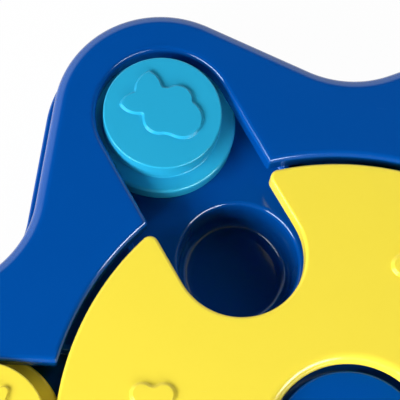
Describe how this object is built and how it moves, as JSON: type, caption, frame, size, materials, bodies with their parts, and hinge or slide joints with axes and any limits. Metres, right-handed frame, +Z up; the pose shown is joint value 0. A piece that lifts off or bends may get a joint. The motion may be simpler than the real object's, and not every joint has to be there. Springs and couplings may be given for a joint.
{
  "type": "dog puzzle feeder toy",
  "caption": "Star-shaped pet treat puzzle: a lobed tray with covered treat cups, knobs that slide in radial slots, and a notched turntable that locks and uncovers them.",
  "frame": {"origin": "on the table plane, under the turntable's axis, at the middle of the six feet", "axes": "+Z up along the turntable's axis, +X from the axis through the middle of the lobe that holds slider_1, +Y to the left of it"},
  "size_m": [0.344, 0.309, 0.043],
  "materials": {
    "blue_plastic": "glossy injection-moulded plastic",
    "yellow_plastic": "glossy injection-moulded plastic",
    "cyan_plastic": "glossy injection-moulded plastic",
    "white_plastic": "smooth slippery plastic",
    "steel": "zinc-plated steel",
    "black_rubber": "matt rubber"
  },
  "bodies": {
    "base": {"base_tray": "blue_plastic", "treat_cups": "blue_plastic", "channel_guides": "blue_plastic", "top_frame": "blue_plastic", "hub_cap": "blue_plastic", "hub_screw": "steel", "hub_washer": "steel", "glide_ring": "white_plastic", "case_screws": "steel", "foot_1": "black_rubber", "foot_2": "black_rubber", "foot_3": "black_rubber", "foot_4": "black_rubber", "foot_5": "black_rubber", "foot_6": "black_rubber"},
    "disc": {"rotating_disc": "yellow_plastic", "disc_hub": "yellow_plastic"},
    "slider_body_1": {"slider_1": "cyan_plastic", "slide_plate_1": "cyan_plastic"},
    "slider_body_2": {"slider_2": "yellow_plastic", "slide_plate_2": "yellow_plastic"},
    "slider_body_3": {"slider_3": "cyan_plastic", "slide_plate_3": "cyan_plastic"},
    "slider_body_4": {"slider_4": "yellow_plastic", "slide_plate_4": "yellow_plastic"},
    "slider_body_5": {"slider_5": "cyan_plastic", "slide_plate_5": "cyan_plastic"},
    "slider_body_6": {"slider_6": "yellow_plastic", "slide_plate_6": "yellow_plastic"}
  },
  "joints": [
    {"name": "disc_turn", "type": "hinge", "parent": "base", "child": "disc", "pos_m": [0, 0, 0.0394], "axis": [0, 0, 1], "range_deg": [0, 300]},
    {"name": "slider_1_slide", "type": "slide", "parent": "base", "child": "slider_body_1", "axis": [1, 0, 0], "range_m": [-0.0117, 0.0028]},
    {"name": "slider_2_slide", "type": "slide", "parent": "base", "child": "slider_body_2", "axis": [0.5, 0.866, 0], "range_m": [-0.0117, 0.0028]},
    {"name": "slider_3_slide", "type": "slide", "parent": "base", "child": "slider_body_3", "axis": [-0.5, 0.866, 0], "range_m": [-0.0576, 0.0028]},
    {"name": "slider_4_slide", "type": "slide", "parent": "base", "child": "slider_body_4", "axis": [-1, 0, 0], "range_m": [-0.002, 0.0118]},
    {"name": "slider_5_slide", "type": "slide", "parent": "base", "child": "slider_body_5", "axis": [-0.5, -0.866, 0], "range_m": [-0.0117, 0.0028]},
    {"name": "slider_6_slide", "type": "slide", "parent": "base", "child": "slider_body_6", "axis": [0.5, -0.866, 0], "range_m": [-0.0117, 0.0028]}
  ]
}
